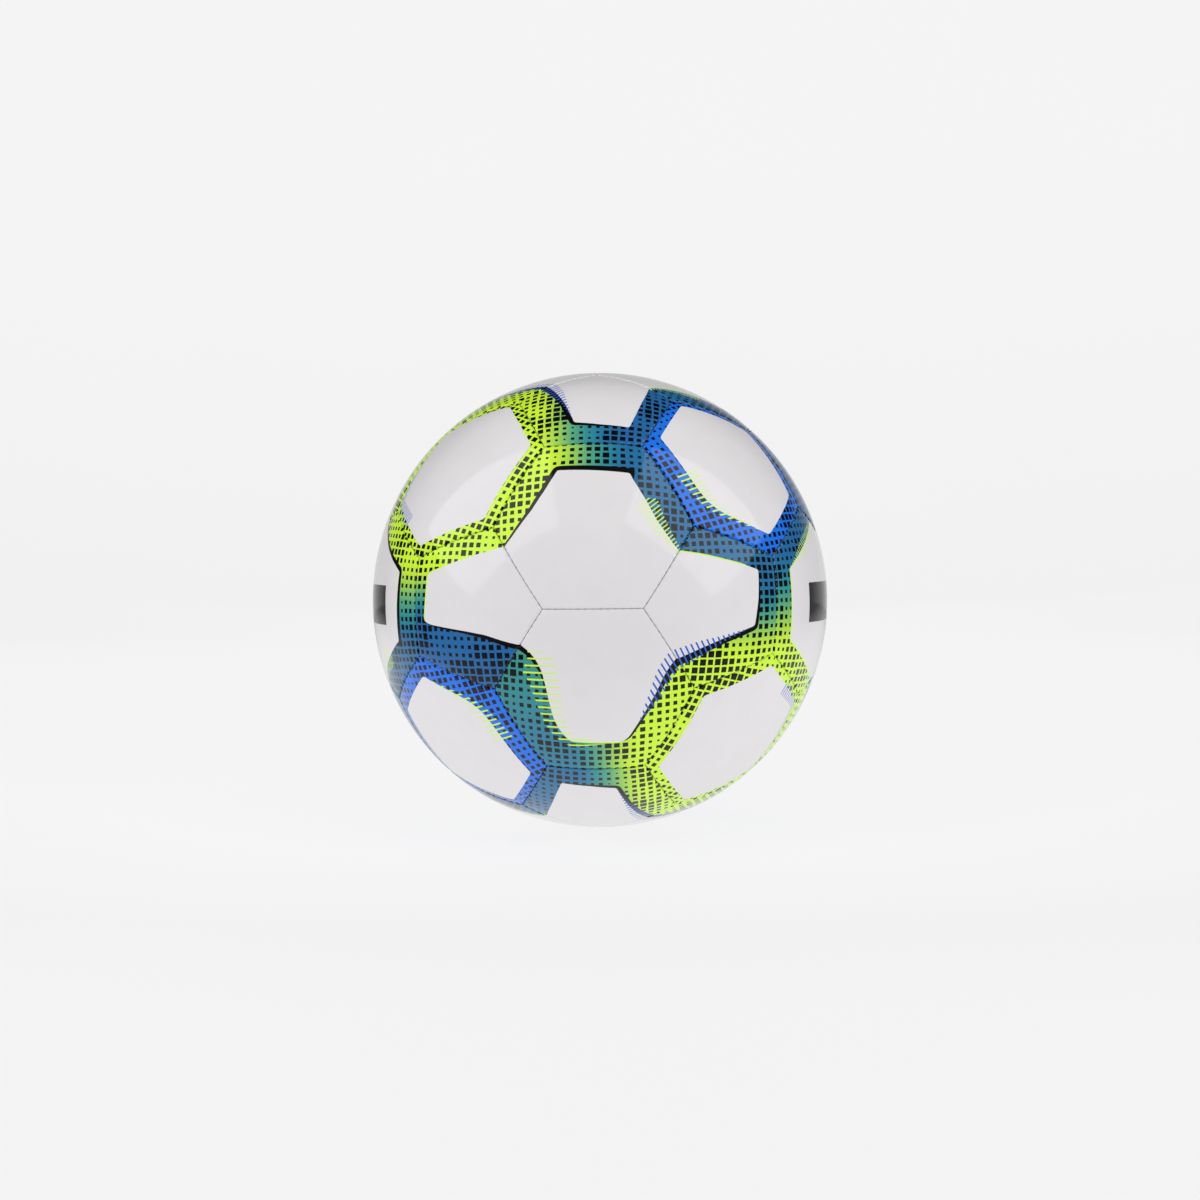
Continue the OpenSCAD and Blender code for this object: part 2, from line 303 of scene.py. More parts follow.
def make_panels():
    panels = []
    for name, design in PRINTS.items():
        face, side, kind = name.split("_")
        face, side = np.array(AXES[face], float), np.array(AXES[side], float)
        hexagon = kind == "hexagon"
        normal = unit(PHI * face + (side / PHI if hexagon else side))
        away = np.dot(face, normal) * normal - face
        first = -math.pi / 2 if hexagon else math.pi / 2
        panels.append(Panel(name, design, normal, np.cross(away, normal), 6 if hexagon else 5, first))
    for y in ("front", "back"):
        for z in ("upper", "lower"):
            for x in ("left", "right"):
                at = [np.array(AXES[k], float) for k in (x, y, z)]
                corner = sum(at)
                design = "corner_lime" if corner.prod() > 0 else "corner_blue"
                name = f"corner_hexagon_{y}_{z}_{x}"
                panels.append(Panel(name, design, corner, PHI * at[1] + at[2] / PHI, 6, 0.0))
    return panels


PANELS = make_panels()
BY_NAME = {p.name: p for p in PANELS}
VALVE_PANEL = BY_NAME["back_upper_hexagon"]


# ---- Meshes made of rings ----


class Loft:
    """Rings of points, each joined to the one before it."""

    def __init__(self):
        self.points = []
        self.faces = []
        self.count = 0
        self.first = None
        self.last = None

    def add(self, points):
        index = np.arange(self.count, self.count + len(points))
        self.points.append(np.asarray(points, float))
        self.count += len(points)
        if self.last is None:
            self.first = index
        else:
            self.join(self.last, index)
        self.last = index

    def join(self, a, b):
        an, bn = np.roll(a, -1), np.roll(b, -1)
        if len(a) == 1:
            rows = [(np.repeat(a, len(b)), bn, b)]
        elif len(b) == 1:
            rows = [(a, an, np.repeat(b, len(a)))]
        elif len(a) == len(b):
            rows = [(a, an, bn, b)]
        elif len(a) == 2 * len(b):
            even, odd, after = a[::2], a[1::2], an[1::2]
            rows = [(even, odd, b), (odd, after, bn), (odd, bn, b)]
        else:
            even, odd, after = b[::2], b[1::2], bn[1::2]
            rows = [(a, an, odd), (a, odd, even), (an, after, odd)]
        for columns in rows:
            self.faces += np.stack(columns, axis=1).tolist()

    def close(self):
        self.join(self.last, self.first)

    def new_part(self):
        self.last = None

    def vertices(self):
        return np.concatenate(self.points)


def mesh_object(name, vertices, faces, sharp=None):
    mesh = bpy.data.meshes.new(name)
    mesh.from_pydata((np.asarray(vertices) * MM).tolist(), [], faces)
    mesh.update()
    mesh.polygons.foreach_set("use_smooth", np.ones(len(mesh.polygons), bool))
    if sharp is not None:
        mesh.set_sharp_from_angle(angle=math.radians(sharp))
    obj = bpy.data.objects.new(name, mesh)
    bpy.context.scene.collection.objects.link(obj)
    return obj


def set_attribute(obj, name, values):
    values = np.asarray(values, np.float32)
    kind, field = ("FLOAT_VECTOR", "vector") if values.ndim == 2 else ("FLOAT", "value")
    attribute = obj.data.attributes.new(name, kind, "POINT")
    attribute.data.foreach_set(field, values.ravel())


def place(obj, slot, *nodes):
    """A piece of the ball that stands for these CAD nodes."""
    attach(obj, "ball")
    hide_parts(*nodes)
    return obj


# ---- Cover ----


def skin(panel, points):
    """The cover's outer surface: rolled over at the seams, and pulled in by every stitch."""
    d = points / np.linalg.norm(points, axis=1, keepdims=True)
    gaps = RADIUS * (d @ panel.seams.T)
    gap = -smooth_max(-gaps, 0.3)
    near = gaps.argmin(axis=1)
    rolled = np.clip((SEAM_HALF + ROLL - gap) / ROLL, 0, 1)
    drop = ROLL * (1 - np.sqrt(1 - rolled**2))
    along = (d * panel.alongs[near]).sum(axis=1)
    t = np.arctan2(along, (d * panel.middles[near]).sum(axis=1)) * THREAD_R
    pull = np.cos(np.pi * t / PITCH) ** 6 * (np.abs(t) < (STITCHES - 0.5) / 2 * PITCH)
    drop = drop + PULL_DEPTH * pull * np.exp(-((gap / PULL_REACH) ** 2))
    drop = drop + SINK_DEPTH * np.exp(-gap / SINK_REACH)
    return d * (RADIUS - drop)[:, None]


def cover_mesh(panel):
    """A closed tray: the inner face, the turned-in edge, the rolled rim and the printed face."""
    loft = Loft()
    hole = panel is VALVE_PANEL
    inside = RADIUS - COVER_T
    start = VALVE_HOLE_R if hole else CENTRE_R
    if not hole:
        loft.add([panel.normal * inside])
    for share, per_side in ((0, 10), (0.25, 10), (0.55, 10), (0.8, 20)):
        loft.add(panel.inner_ring(start + share * (panel.apothem - start), inside, per_side))
    loft.add(panel.ring(COVER_T + SEAM_HALF, inside, 20))
    for radius, per_side in ((107, 20), (FLANGE_R, 20)):
        loft.add(panel.ring(COVER_T + SEAM_HALF, radius, per_side))
    loft.add(panel.ring(SEAM_HALF, FLANGE_R, 20))
    loft.add(panel.ring(SEAM_HALF, 106.3, 40))
    loft.add(panel.ring(SEAM_HALF, 108.2, 80))
    for degrees in (90, 75, 60, 45, 30, 15):
        gap = SEAM_HALF + ROLL * (1 - math.sin(math.radians(degrees)))
        loft.add(skin(panel, panel.ring(gap, RADIUS, 80)))
    for gap in (0.85, 1.1, 1.5):
        loft.add(skin(panel, panel.ring(gap, RADIUS, 80)))
    apothem = panel.apothem - 2.3
    while apothem > start + 0.6:
        per_side = 40 if apothem > 0.5 * panel.apothem else 20
        per_side = per_side if apothem > 0.25 * panel.apothem else 10
        loft.add(skin(panel, panel.inner_ring(apothem, RADIUS, per_side)))
        apothem -= 1.1
    loft.add(skin(panel, panel.inner_ring(start, RADIUS, 10)))
    if hole:
        loft.close()
    else:
        loft.add([panel.normal * RADIUS])
    return loft


def cut_corners(outline, size):
    """The outline, carried on past the seams, with three points of a small arc at each corner."""
    points = np.array(outline, float)

    def past(end, before, lead=18):
        point = end + (end - before) * lead / np.linalg.norm((end - before)[:2])
        return np.append(point[:2], end[2:])

    result = [past(points[0], points[1]), points[0]]
    for a, b, c in zip(points[:-2], points[1:-1], points[2:]):
        before = b + (a - b) * min(0.4, size / np.linalg.norm((a - b)[:2]))
        after = b + (c - b) * min(0.4, size / np.linalg.norm((c - b)[:2]))
        result += [before, (before + 2 * b + after) / 4, after]
    return np.array(result + [points[-1], past(points[-1], points[-2])])


def distance_to_outline(flat, outline, far_below=-90):
    """Distance to the outline, positive outside the white field, and the outline's values there."""
    best = np.full(len(flat), 1e9)
    values = np.zeros((len(flat), 3))
    for a, b in zip(outline[:-1], outline[1:]):
        step = b[:2] - a[:2]
        t = np.clip(((flat - a[:2]) @ step) / (step @ step), 0, 1)
        distance = np.linalg.norm(flat - a[:2] - t[:, None] * step, axis=1)
        nearer = distance < best
        best = np.where(nearer, distance, best)
        values[nearer] = a[2:] + t[nearer, None] * (b[2:] - a[2:])
    field = np.concatenate([outline[:, :2], [[outline[-1, 0], far_below], [outline[0, 0], far_below]]])
    inside = np.zeros(len(flat), bool)
    for a, b in zip(field, np.roll(field, -1, axis=0)):
        crosses = (a[1] > flat[:, 1]) != (b[1] > flat[:, 1])
        rise = b[1] - a[1] if b[1] != a[1] else 1.0
        inside ^= crosses & (flat[:, 0] < a[0] + (flat[:, 1] - a[1]) / rise * (b[0] - a[0]))
    return np.where(inside, -best, best), values


def hatch_lines(flat, degrees, spacing):
    """A value that grows by one from each line of the hatching to the next."""
    turn = math.radians(degrees)
    return (flat[:, 1] * math.cos(turn) - flat[:, 0] * math.sin(turn)) / spacing


def tone_of(panel, flat):
    """How far the print has faded from lime to blue. Print hex_b turns greener downwards."""
    lime, blue, deepest = TONES.get(panel.name, TONES[panel.design])
    tone = deepest * np.clip((flat[:, 0] - lime) / (blue - lime), 0, 1)
    if panel.design == "hex_b":
        tone = tone * np.clip(0.88 + 0.006 * flat[:, 1], 0.75, 1)
    return tone


def group_print(panel, flat):
    """What the cover's shader needs on a panel of the six groups."""
    design = panel.design
    outline = cut_corners(OUTLINES[design], FILLET[design])
    edge, values = distance_to_outline(flat, outline)
    line, band, white = values.T
    if panel.name.startswith(("top", "bottom")):
        line = np.where(line < 0, 0, line)
    blue = (band < 0) | (white < 0)
    degrees, spacing, width = LIME_HATCH.get(design, NO_HATCH)
    lines, duty = hatch_lines(flat, degrees, spacing), np.full(len(flat), width / spacing)
    degrees, spacing, width = BLUE_HATCH.get(design, NO_HATCH)
    lines = np.where(blue, hatch_lines(flat, degrees, spacing), lines)
    duty = np.where(blue, width / spacing, duty)
    hatch = np.stack([lines, np.abs(band), np.abs(white)], axis=1)
    bar = np.full(len(flat), NO_BAR)
    if panel.name.startswith(("left", "right")) and panel.sides == 6:
        bar = np.maximum(np.abs(flat[:, 0]) - BAR_HALF, flat[:, 1] - BAR_END)
    ink = np.stack([duty, blue * 1.0, bar], axis=1)
    return edge, line, tone_of(panel, flat), hatch, ink


def corner_print(panel, flat):
    """What the cover's shader needs on a corner panel: a border all round, hatched at one place."""
    borders = np.array(CORNER_BORDERS[panel.design], float)
    over = borders - (panel.apothem - flat @ panel.out.T)
    near = over.argmax(axis=1)
    degrees, spacing, width = CORNER_HATCH[panel.design]
    lines = hatch_lines(flat, degrees, spacing)
    zero = np.zeros(len(flat))
    blue = panel.design == "corner_blue"
    if blue:
        rounded = smooth_max(over[:, :2], 5.0)
        over = np.concatenate([rounded[:, None], over[:, 2:]], axis=1)
        reach = np.clip(5.6 - 0.165 * flat[:, 1], 0, 6) * (flat[:, 1] > -3) * (near < 2)
        hatch = np.stack([lines, reach, 0.95 * reach], axis=1)
    else:
        along = flat @ np.array([-math.sqrt(3) / 2, 0.5])
        reach = np.clip(5.2 - 0.11 * along, 0, 5.2) * (along > 0.8) * ((near == 3) | (near == 4))
        hatch = np.stack([lines, 0.6 * reach, reach], axis=1)
    ink = np.stack([zero + width / spacing, zero + (not blue), zero + NO_BAR], axis=1)
    return smooth_max(over, 0.5), zero - 0.1, zero + blue, hatch, ink


def cover_piece(panel, seed):
    """One panel with the attributes that its print is drawn from."""
    loft = cover_mesh(panel)
    points = loft.vertices()
    obj = mesh_object("cover_" + panel.name, points, loft.faces, sharp=60)
    flat = panel.flat(points)
    corner = panel.design.startswith("corner")
    edge, line, tone, hatch, ink = (corner_print if corner else group_print)(panel, flat)
    gap = RADIUS * (points / np.linalg.norm(points, axis=1, keepdims=True) @ panel.seams.T).min(axis=1)
    backing = (np.linalg.norm(points, axis=1) < RADIUS - COVER_T + 0.01) & (gap > 0.5)
    set_attribute(obj, "flat", np.column_stack([flat, np.full(len(flat), seed)]))
    set_attribute(obj, "print", np.column_stack([edge, line, tone]))
    set_attribute(obj, "hatch", hatch)
    set_attribute(obj, "ink", ink)
    set_attribute(obj, "backing", backing * 1.0)
    return obj


# ---- Materials ----


def rgb(code):
    """A colour written as #rrggbb, turned into the linear values that Blender uses."""
    parts = [int(code[i : i + 2], 16) / 255 for i in (1, 3, 5)]
    return tuple(c / 12.92 if c <= 0.04045 else ((c + 0.055) / 1.055) ** 2.4 for c in parts) + (1.0,)


class Shader:
    """A material with one Principled surface, and short names for the nodes that feed it."""

    def __init__(self, name):
        self.material = bpy.data.materials.new(name)
        self.material.use_nodes = True
        self.tree = self.material.node_tree
        self.surface = self.tree.nodes["Principled BSDF"]

    def link(self, value, socket):
        if isinstance(value, bpy.types.NodeSocket):
            self.tree.links.new(value, socket)
        else:
            socket.default_value = value

    def node(self, kind, output=0, inputs=(), **settings):
        node = self.tree.nodes.new(kind)
        for key, value in settings.items():
            setattr(node, key, value)
        for key, value in dict(inputs).items():
            self.link(value, node.inputs[key])
        return node.outputs[output]

    def math(self, operation, a, b=0.0):
        return self.node("ShaderNodeMath", 0, {0: a, 1: b}, operation=operation)

    def step(self, value, width=0.07):
        """1 where value is above zero and 0 below, with a narrow ramp between them."""
        return self.remap(value, -width, width, 0.0, 1.0)

    def remap(self, value, a, b, c, d):
        return self.node("ShaderNodeMapRange", 0, {0: value, 1: a, 2: b, 3: c, 4: d}, clamp=True)

    def mix(self, factor, a, b):
        return self.node("ShaderNodeMix", 2, {0: factor, 6: a, 7: b}, data_type="RGBA")

    def attribute(self, name, output="Vector"):
        return self.node("ShaderNodeAttribute", output, attribute_name=name)

    def parts(self, vector):
        node = self.tree.nodes.new("ShaderNodeSeparateXYZ")
        self.tree.links.new(vector, node.inputs[0])
        return node.outputs

    def vector(self, x, y, z):
        return self.node("ShaderNodeCombineXYZ", 0, {0: x, 1: y, 2: z})

    def place(self):
        return self.node("ShaderNodeTexCoord", "Object")

    def noise(self, vector, scale, detail=2.0, roughness=0.5):
        settings = {"Vector": vector, "Scale": scale, "Detail": detail, "Roughness": roughness}
        return self.node("ShaderNodeTexNoise", 0, settings)

    def ramp(self, factor, stops):
        node = self.tree.nodes.new("ShaderNodeValToRGB")
        elements = node.color_ramp.elements
        while len(elements) < len(stops):
            elements.new(0.5)
        for element, (position, colour) in zip(elements, stops):
            element.position = position
            element.color = rgb(colour)
        self.link(factor, node.inputs[0])
        return node.outputs[0]

    def bump(self, height, strength, distance, normal=None):
        inputs = {"Height": height, "Strength": strength, "Distance": distance}
        if normal is not None:
            inputs["Normal"] = normal
        return self.node("ShaderNodeBump", 0, inputs)

    def finish(self, **sockets):
        for key, value in sockets.items():
            self.link(value, self.surface.inputs[key.replace("_", " ").title().replace("Ior", "IOR")])
        return self.material


def print_squares(s, x, y, seed):
    """1 in the squares of the print: a regular grid, with sizes that change over the panel."""
    across, up = s.math("DIVIDE", x, SQUARE_PITCH), s.math("DIVIDE", y, SQUARE_PITCH)
    column, row = s.math("FLOOR", across), s.math("FLOOR", up)
    off_x = s.math("ABSOLUTE", s.math("SUBTRACT", s.math("FRACT", across), 0.5))
    off_y = s.math("ABSOLUTE", s.math("SUBTRACT", s.math("FRACT", up), 0.5))
    off = s.math("MULTIPLY", s.math("MAXIMUM", off_x, off_y), SQUARE_PITCH)
    cell = s.vector(column, row, s.math("MULTIPLY", seed, 9.7))
    jitter = s.remap(s.noise(cell, 0.73, 0.0), 0.3, 0.7, -0.26, 0.2)
    half = s.math("ADD", s.remap(s.noise(cell, 0.19, 1.0), 0.33, 0.66, 0.68, 1.38), jitter)
    return s.step(s.math("SUBTRACT", half, off))


def cover_material():
    """Synthetic leather under a clear coat, printed with fading bands, squares, lines and hatching."""
    s = Shader("printed_cover")
    x, y, seed = s.parts(s.attribute("flat"))
    edge, line, tone = s.parts(s.attribute("print"))
    lines, into_colour, into_white = s.parts(s.attribute("hatch"))
    duty, blue_ink, bar = s.parts(s.attribute("ink"))

    band = s.ramp(
        tone,
        [
            (0.0, "#cbf531"),
            (0.1, "#bfe63c"),
            (0.22, "#93cc55"),
            (0.34, "#57a67c"),
            (0.46, "#318f8e"),
            (0.58, "#24769c"),
            (0.7, "#21689c"),
            (0.8, "#20649f"),
            (1.0, "#156fe2"),
        ],
    )
    squares = print_squares(s, x, y, seed)
    black = rgb("#0b0b0e")
    band = s.mix(squares, band, black)

    white_grain = s.noise(s.place(), 90.0, 2.0)
    white = s.mix(white_grain, rgb("#dcd9db"), rgb("#e1dfe0"))
    printed = s.step(edge)
    colour = s.mix(printed, white, band)

    lime = rgb("#cbf531")
    dark_line = s.math("MULTIPLY", printed, s.step(s.math("SUBTRACT", line, edge)))
    dark_line = s.math("MULTIPLY", dark_line, s.step(s.math("SUBTRACT", line, 0.15)))
    lime_line = s.step(s.math("SUBTRACT", s.math("MULTIPLY", line, -1.0), s.math("ABSOLUTE", edge)))
    lime_line = s.math("MULTIPLY", lime_line, s.step(s.math("SUBTRACT", -0.15, line)))
    colour = s.mix(lime_line, s.mix(dark_line, colour, black), lime)

    swing = s.math("ABSOLUTE", s.math("SUBTRACT", s.math("FRACT", lines), 0.5))
    stroke = s.step(s.math("SUBTRACT", s.math("MULTIPLY", duty, 0.5), swing), 0.03)
    reach = s.step(s.math("SUBTRACT", s.math("SUBTRACT", into_colour, 0.2), edge))
    depth = s.step(s.math("SUBTRACT", s.math("ADD", into_white, edge), 0.2))
    stroke = s.math("MULTIPLY", stroke, s.math("MULTIPLY", reach, depth))
    pale = s.mix(s.math("MULTIPLY", s.math("SUBTRACT", 1.0, printed), 0.3), lime, white)
    colour = s.mix(stroke, colour, s.mix(blue_ink, pale, rgb("#3560c4")))

    colour = s.mix(s.step(s.math("MULTIPLY", bar, -1.0)), colour, rgb("#303034"))
    colour = s.mix(s.attribute("backing", "Fac"), colour, rgb("#d6d2c6"))

    undulation = s.noise(s.place(), 160.0, 2.0)
    grain = s.noise(s.place(), 2600.0, 3.0, 0.6)
    normal = s.bump(grain, 0.12, 0.00006, s.bump(undulation, 0.12, 0.0004))
    return s.finish(
        base_color=colour,
        roughness=s.remap(s.noise(s.place(), 700.0, 3.0), 0.3, 0.7, 0.3, 0.4),
        normal=normal,
        specular_ior_level=0.1,
        coat_weight=1.0,
        coat_roughness=0.07,
        coat_ior=1.45,
    )


def thread_material():
    """Waxed thread: two plies twisted round each other, with painted shade in the grooves between them,
    and a little fuzz.
    """
    s = Shader("waxed_thread")
    along, around, _ = s.parts(s.attribute("thread"))
    twist = s.math("ADD", s.math("MULTIPLY", along, 6.5), s.math("MULTIPLY", around, 2.0))
    ply = s.math("ABSOLUTE", s.math("SINE", twist))
    fuzz = s.noise(s.place(), 4000.0, 4.0, 0.7)
    # Painted shade: darker in the grooves between the plies, lighter on their crests
    colour = s.mix(ply, rgb("#5c5d63"), rgb("#a3a4a9"))
    colour = s.mix(s.math("MULTIPLY", fuzz, 0.4), colour, rgb("#b9babd"))
    normal = s.bump(fuzz, 0.3, 0.00005, s.bump(ply, 0.6, 0.00012))
    return s.finish(base_color=colour, roughness=s.remap(fuzz, 0.2, 0.8, 0.45, 0.75), normal=normal)


def foam_material():
    """Closed-cell foam: pale, with cut cells all over it."""
    s = Shader("closed_cell_foam")
    cells = s.node("ShaderNodeTexVoronoi", "Distance", {"Vector": s.place(), "Scale": 1400.0})
    patches = s.noise(s.place(), 60.0, 3.0)
    colour = s.mix(patches, rgb("#efe8cf"), rgb("#f7f2e2"))
    # Painted shade: each cut cell is darker towards its middle, where its hollow is deepest
    colour = s.mix(s.remap(cells, 0.0, 0.5, 0.35, 0.0), colour, rgb("#cfc6a8"))
    normal = s.bump(cells, 0.5, 0.0002)
    return s.finish(base_color=colour, roughness=s.remap(cells, 0.0, 0.6, 0.95, 0.8), normal=normal)


def lining_material():
    """Plain-woven cotton and polyester cloth, glued in layers."""
    s = Shader("woven_lining")
    yarns = 0.7
    x, y, _ = s.parts(s.attribute("flat"))
    warp = s.math("SINE", s.math("MULTIPLY", x, 2 * math.pi / yarns))
    weft = s.math("SINE", s.math("MULTIPLY", y, 2 * math.pi / yarns))
    weave = s.math("MULTIPLY", warp, weft)
    high = s.remap(weave, -1.0, 1.0, 0.0, 1.0)
    slub = s.noise(s.vector(s.math("MULTIPLY", x, 0.15), s.math("MULTIPLY", y, 1.4), 0.0), 1.0, 3.0)
    # Painted shade: the cloth is darker at the weave's low points and lighter at its high points
    colour = s.mix(high, rgb("#a9acb2"), rgb("#dfe0e3"))
    colour = s.mix(s.remap(slub, 0.4, 0.7, 0.0, 0.5), colour, rgb("#c3bca9"))
    normal = s.bump(slub, 0.2, 0.0002, s.bump(high, 0.7, 0.00025))
    rough = s.remap(high, 0.0, 1.0, 0.95, 0.8)
    return s.finish(base_color=colour, roughness=rough, normal=normal, sheen_weight=0.2)


def rubber_material(name, dark, light, roughness, dust):
    """Moulded rubber with faint flow marks, and a dusting of talc on the bladder."""
    s = Shader(name)
    flow = s.noise(s.place(), 45.0, 4.0, 0.6)
    fine = s.noise(s.place(), 1500.0, 3.0, 0.6)
    colour = s.mix(flow, rgb(dark), rgb(light))
    colour = s.mix(s.math("MULTIPLY", s.remap(flow, 0.5, 0.75, 0.0, 1.0), dust), colour, rgb("#8c8a86"))
    normal = s.bump(fine, 0.25, 0.00006, s.bump(flow, 0.15, 0.0006))
    rough = s.remap(fine, 0.3, 0.7, roughness, roughness + 0.15)
    return s.finish(base_color=colour, roughness=rough, normal=normal)


# ---- Thread ----


def tube(loft, centres, radius, sides=6):
    """A closed tube along these points. Gives each point's distance along it and turn around it."""
    centres = np.asarray(centres, float)
    heading = np.gradient(centres, axis=0)
    heading /= np.linalg.norm(heading, axis=1, keepdims=True)
    up = unit(centres[len(centres) // 2])
    side = np.cross(heading, up)
    side /= np.linalg.norm(side, axis=1, keepdims=True)
    lift = np.cross(side, heading)
    turn = np.arange(sides) * 2 * math.pi / sides
    run = np.concatenate([[0], np.cumsum(np.linalg.norm(np.diff(centres, axis=0), axis=1))])
    marks = [(0.0, 0.0)]
    loft.new_part()
    loft.add([centres[0]])
    for i, centre in enumerate(centres):
        ring = np.cos(turn)[:, None] * side[i] + np.sin(turn)[:, None] * lift[i]
        loft.add(centre + radius * ring)
        marks += [(run[i], t) for t in turn]
    loft.add([centres[-1]])
    return marks + [(run[-1], 0.0)]


def sew_seam(loft, panel, i):
    """Two strands behind the seam, and the stitches that come up through both panels' edges."""
    across, middle, along = -panel.seams[i], panel.middles[i], panel.alongs[i]

    def at(offset, t, radius):
        d = middle * math.cos(t / THREAD_R) + along * math.sin(t / THREAD_R)
        return d * radius + across * offset

    marks = []
    half = (STITCHES - 1) / 2 * PITCH
    places = np.linspace(-half, half, 4 * STITCHES - 3)
    for x in (-STRAND_X, STRAND_X):
        wave = [THREAD_R + STRAND_WAVE * math.cos(2 * math.pi * t / PITCH) for t in places]
        marks += tube(loft, [at(x, t, r) for t, r in zip(places, wave)], STRAND_RADIUS)
    stitch = HALF_STITCH + [(-x, r) for x, r in reversed(HALF_STITCH[:-1])]
    for k in range(STITCHES):
        t = k * PITCH - half
        marks += tube(loft, [at(x, t + STITCH_SLANT * x, r) for x, r in stitch], STITCH_RADIUS)
    return marks


def stitching(name):
    """The seams of one stitching node: round a group's two pentagons, or between three hexagons."""
    words = name.split("_")
    if words[0] == "corner":
        panel = BY_NAME["corner_hexagon_" + "_".join(words[2:])]
        seams = [(panel, i) for i in (0, 2, 4)]
    else:
        group = [p for p in PANELS if p.name.startswith(words[0])]
        seams = [(p, i) for p in group if p.sides == 5 for i in range(5)]
        seams.append((next(p for p in group if p.sides == 6), 0))
    loft = Loft()
    marks = []
    for panel, i in seams:
        marks += sew_seam(loft, panel, i)
    obj = mesh_object("thread_" + name, loft.vertices(), loft.faces)
    set_attribute(obj, "thread", np.column_stack([marks, np.zeros(len(marks))]))
    return place(obj, "thread", name)


# ---- Padding ----


def slab(loft, panel, top, thickness, layers, soften):
    """One pad: its back, an edge of so many layers, and its face, with the rims rounded."""
    hole = panel is VALVE_PANEL
    start = VALVE_HOLE_R if hole else CENTRE_R
    bottom = top - thickness
    middle = panel.apothem * 0.5
    loft.new_part()
    first = loft.count
    if not hole:
        loft.add([panel.normal * bottom])
    loft.add(panel.inner_ring(start, bottom, 10))
    opening = loft.last
    loft.add(panel.inner_ring(middle, bottom, 10))
    loft.add(panel.ring(PADDING_INSET + 2 * soften, bottom, 20))
    step = thickness / layers
    for k in range(layers):
        low = bottom + k * step
        for share in (0.1, 0.5, 0.9):
            bulge = soften * (1 - math.sin(math.pi * share)) / layers**0.5
            loft.add(panel.ring(PADDING_INSET + bulge, low + share * step, 20))
    loft.add(panel.ring(PADDING_INSET + 2 * soften, top, 20))
    loft.add(panel.inner_ring(middle, top, 10))
    loft.add(panel.inner_ring(start, top, 10))
    if hole:
        loft.join(loft.last, opening)
    else:
        loft.add([panel.normal * top])
    return np.concatenate(loft.points)[first:]


def padding(name, node, sides, top, thickness, layers, soften, slot):
    """The slabs behind all hexagons or all pentagons."""
    loft = Loft()
    flats = []
    for panel in PANELS:
        if panel.sides == sides:
            flats.append(panel.flat(slab(loft, panel, top, thickness, layers, soften)))
    obj = mesh_object(name, loft.vertices(), loft.faces, sharp=50)
    flat = np.concatenate(flats)
    set_attribute(obj, "flat", np.column_stack([flat, np.zeros(len(flat))]))
    return place(obj, slot, node)


# ---- Bladder ----


def bladder():
    """A moulded rubber sphere around the valve's axis, with the ribs that the mould's gores leave."""
    z, x, y = VALVE_PANEL.normal, VALVE_PANEL.x, VALVE_PANEL.y
    turn = np.arange(BLADDER_SPOKES) * 2 * math.pi / BLADDER_SPOKES
    spoke = np.cos(turn)[:, None] * x + np.sin(turn)[:, None] * y
    loft = Loft()

    def ring(radius, angle, rib):
        from_rib = np.abs(np.mod(turn + math.pi / RIBS, 2 * math.pi / RIBS) - math.pi / RIBS)
        width = radius * math.sin(angle) * from_rib
        height = rib * np.exp(-((width / RIB_WIDTH) ** 2)) * math.sin(angle)
        d = math.sin(angle) * spoke + math.cos(angle) * z
        return d * (radius + height)[:, None]

    inner = BLADDER_R - BLADDER_T
    opening = math.asin(VALVE_HOLE_R / BLADDER_R)
    angles = np.linspace(opening, math.pi - 0.03, 64)
    for angle in angles[::-1]:
        loft.add(ring(BLADDER_R, angle, RIB_HEIGHT)[::-1])
    for angle in angles:
        loft.add(ring(inner, angle, 0.0)[::-1])
    far_in, far_out = loft.count, loft.count + 1
    loft.points.append(np.array([-z * inner, -z * BLADDER_R]))
    loft.count += 2
    loft.join(loft.last, np.array([far_in]))
    loft.join(np.array([far_out]), loft.first)
    return place(mesh_object("moulded_bladder", loft.vertices(), loft.faces), "bladder", "bladder")


# ---- The ball ----

cover = cover_material()
for number, panel in enumerate(PANELS):
    piece = cover_piece(panel, number)
    piece.data.materials.append(cover)
    slots = {"corner_lime": "cover_lime", "corner_blue": "cover_blue"}
    place(piece, slots.get(panel.design, "cover_white"), panel.name)

thread = thread_material()
for name in sorted(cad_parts):
    if "stitching" in name:
        stitching(name).data.materials.append(thread)

foam = foam_material()
cloth = lining_material()
for word, sides in (("hexagon", 6), ("pentagon", 5)):
    sizes = (FOAM_R, FOAM_T, FOAM_LAYERS, FOAM_SOFT)
    pad = padding(f"foam_{word}s", f"{word}_foam_pads", sides, *sizes, "foam")
    pad.data.materials.append(foam)
    sizes = (LINING_R, LINING_T, LINING_LAYERS, LINING_SOFT)
    layer = padding(f"cloth_{word}s", f"{word}_linings", sides, *sizes, "lining")
    layer.data.materials.append(cloth)

bladder_rubber = rubber_material("butyl_rubber", "#131315", "#232327", 0.5, 0.35)
valve_rubber = rubber_material("valve_rubber", "#17171a", "#26262a", 0.38, 0.0)
bladder().data.materials.append(bladder_rubber)
for name, material in (
    ("bladder_patch", bladder_rubber),
    ("valve_stem", valve_rubber),
    ("valve_core", valve_rubber),
):
    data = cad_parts[name].data
    data.materials.clear()
    data.materials.append(material)

# ---- Floor, light and camera ----

# From here on lengths are in metres
FLOOR_FLAT = 1.8
WALL_BEND = 1.2
WALL_TOP = 2.2
